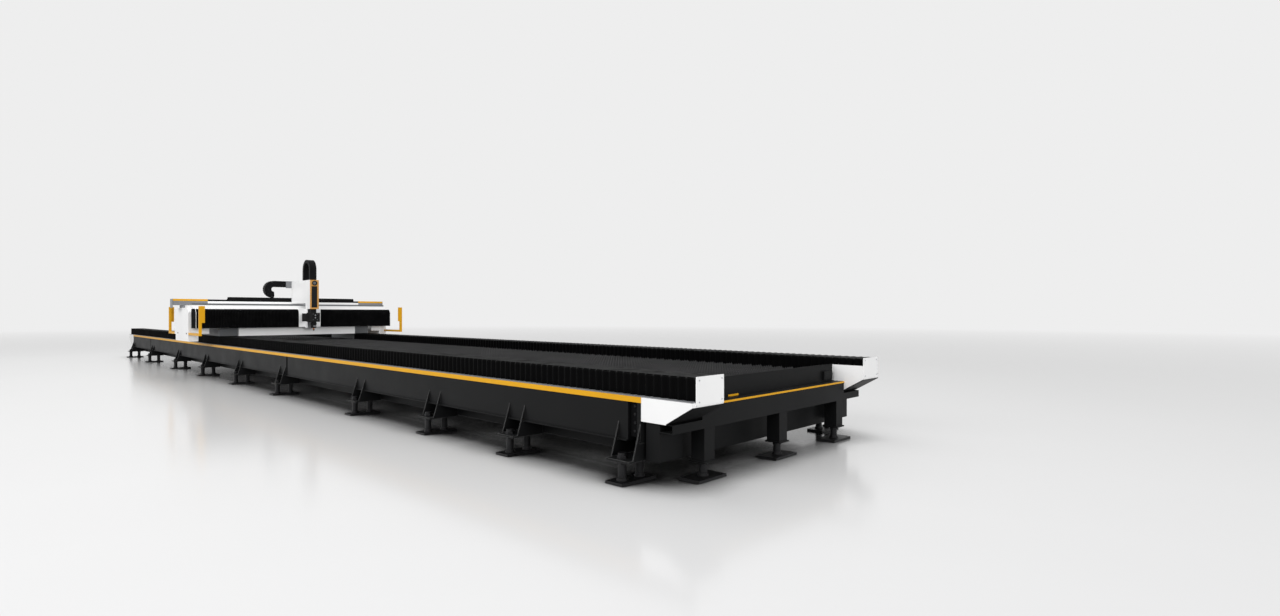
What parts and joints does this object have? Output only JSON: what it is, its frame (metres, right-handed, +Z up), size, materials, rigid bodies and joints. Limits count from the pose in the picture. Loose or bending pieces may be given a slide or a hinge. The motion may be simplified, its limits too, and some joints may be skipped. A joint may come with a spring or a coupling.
{
  "type": "gantry laser cutting machine",
  "caption": "Long-bed flatbed laser cutter: slat table between bellows-covered rails, with a moving gantry, cross carriage, lifting laser head and energy chains.",
  "frame": {"origin": "centre of the footprint, on the floor", "axes": "+X along the bed towards the front end, +Y across the bed to the far side, +Z up"},
  "size_m": [24.76, 4.856, 2.7609],
  "materials": {
    "charcoal": "satin powder coat",
    "joint_black": "matt black paint",
    "yellow": "satin paint",
    "white": "satin powder coat",
    "grey": "satin paint",
    "foot_black": "satin black paint",
    "table_steel": "dull dark steel",
    "bright_steel": "ground steel",
    "rack_steel": "hardened steel",
    "slider_grey": "satin",
    "bellows": "coated folded fabric",
    "motor_black": "black paint on a cast case",
    "chain_black": "black plastic links",
    "amber": "satin",
    "gloss_black": "gloss black",
    "slide_alu": "milled",
    "head_dark": "black anodised",
    "copper": "polished copper"
  },
  "bodies": {
    "bed": {"near_beams": "charcoal", "far_beams": "charcoal", "joint_blocks": "joint_black", "side_stripes": "yellow", "ledges": "grey", "foot_brackets": "charcoal", "foot_plates": "foot_black", "jack_bolts": "foot_black", "guide_rails": "bright_steel", "racks": "rack_steel", "near_front_bellows": "bellows", "far_front_bellows": "bellows", "near_rear_bellows": "bellows", "far_rear_bellows": "bellows", "front_caps": "white", "rear_caps": "white", "end_plates": "white", "front_panel": "charcoal", "front_stripe": "yellow", "end_beams": "charcoal", "front_legs": "charcoal", "front_foot_plates": "foot_black", "table_frame": "table_steel", "slats": "table_steel", "slag_trays": "table_steel"},
    "gantry": {"saddles": "slider_grey", "gantry_sliders": "slider_grey", "cross_beam": "white", "beam_rails": "bright_steel", "beam_rack": "rack_steel", "near_leg": "white", "far_leg": "white", "guards": "yellow", "gearboxes": "rack_steel", "motors": "motor_black", "chain_tray": "joint_black", "tray_brackets": "grey", "chain_lower": "chain_black", "near_cover": "bellows", "far_cover": "bellows"},
    "carriage": {"carriage_plate": "white", "carriage_sliders": "slider_grey", "carriage_housing": "white", "front_frame": "amber", "slot_panel": "gloss_black", "round_port": "gloss_black", "y_drive": "motor_black", "chain_clamp": "grey", "z_rails": "bright_steel", "z_motor": "motor_black", "chain_upper": "chain_black", "z_chain": "chain_black"},
    "head": {"slide_plate": "slide_alu", "laser_head": "head_dark", "nozzle": "copper"},
    "near_pinion_body": {"near_pinion": "bright_steel"},
    "far_pinion_body": {"far_pinion": "bright_steel"},
    "y_pinion_body": {"y_pinion": "bright_steel"},
    "screw_body": {"z_screw": "bright_steel"},
    "bend_body": {"chain_bend": "chain_black"}
  },
  "joints": [
    {"name": "gantry_travel", "type": "slide", "parent": "bed", "child": "gantry", "axis": [1, 0, 0], "range_m": [-8.2, 11.8], "deforming": ["near_front_bellows", "far_front_bellows", "near_rear_bellows", "far_rear_bellows"]},
    {"name": "carriage_travel", "type": "slide", "parent": "gantry", "child": "carriage", "axis": [0, 1, 0], "range_m": [-1.41, 1.09], "deforming": ["near_cover", "far_cover", "chain_upper"]},
    {"name": "head_lift", "type": "slide", "parent": "carriage", "child": "head", "axis": [0, 0, 1], "range_m": [-0.21, 0.08], "deforming": ["z_chain"]},
    {"name": "near_pinion_turn", "type": "hinge", "parent": "gantry", "child": "near_pinion_body", "pos_m": [-2.675, -1.3944, 0.765], "axis": [0, 0, 1], "continuous": true},
    {"name": "far_pinion_turn", "type": "hinge", "parent": "gantry", "child": "far_pinion_body", "pos_m": [-2.675, 1.3944, 0.765], "axis": [0, 0, 1], "continuous": true},
    {"name": "y_pinion_turn", "type": "hinge", "parent": "carriage", "child": "y_pinion_body", "pos_m": [-1.5094, 0.16, 1.668], "axis": [0, 0, 1], "continuous": true},
    {"name": "screw_turn", "type": "hinge", "parent": "carriage", "child": "screw_body", "pos_m": [-1.13, 0.16, 1.4], "axis": [0, 0, 1], "continuous": true},
    {"name": "bend_travel", "type": "slide", "parent": "carriage", "child": "bend_body", "axis": [0, 1, 0], "range_m": [-0.55, 0.71]}
  ],
  "couplings": [
    {"joint": "near_pinion_turn", "follows": "gantry_travel", "rad_per_m": -27.778},
    {"joint": "far_pinion_turn", "follows": "gantry_travel", "rad_per_m": 27.778},
    {"joint": "y_pinion_turn", "follows": "carriage_travel", "rad_per_m": 27.778},
    {"joint": "screw_turn", "follows": "head_lift", "rad_per_m": -628.32},
    {"joint": "bend_travel", "follows": "carriage_travel", "ratio": -0.5}
  ]
}
